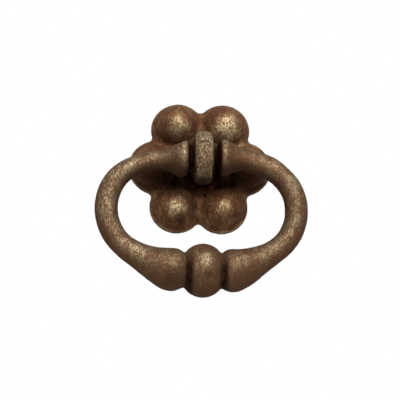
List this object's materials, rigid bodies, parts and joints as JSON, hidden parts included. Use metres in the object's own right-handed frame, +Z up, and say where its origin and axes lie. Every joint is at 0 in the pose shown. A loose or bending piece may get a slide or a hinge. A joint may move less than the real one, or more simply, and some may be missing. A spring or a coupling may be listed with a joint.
{
  "type": "drop pull",
  "caption": "Cast drop pull for a drawer: lobed rosette with ball bosses, eye bolt with a threaded shank, and a swinging bail with a beaded grip.",
  "frame": {"origin": "middle of the rosette's back plane, on the axis of the shank", "axes": "-Y is the front, +Y runs along the shank into the drawer front, +Z is up, +X is to the right seen from the front"},
  "size_m": [0.0602, 0.046, 0.0589],
  "materials": {
    "rosette_iron": "antiqued brown cast iron, burnished on the bosses",
    "eye_iron": "antiqued brown cast iron, worn greyer on the edges",
    "bail_iron": "antiqued brown cast iron, rubbed on the outer curves",
    "fixing_steel": "dull plated steel"
  },
  "bodies": {
    "post": {"rosette": "rosette_iron", "eye_bolt": "eye_iron", "washer": "fixing_steel", "hex_nut": "fixing_steel"},
    "bail": {"bail": "bail_iron"}
  },
  "joints": [
    {"name": "bail_swing", "type": "hinge", "parent": "post", "child": "bail", "pos_m": [0, -0.0134, 0], "axis": [-1, 0, 0], "range_deg": [-10, 190]}
  ]
}
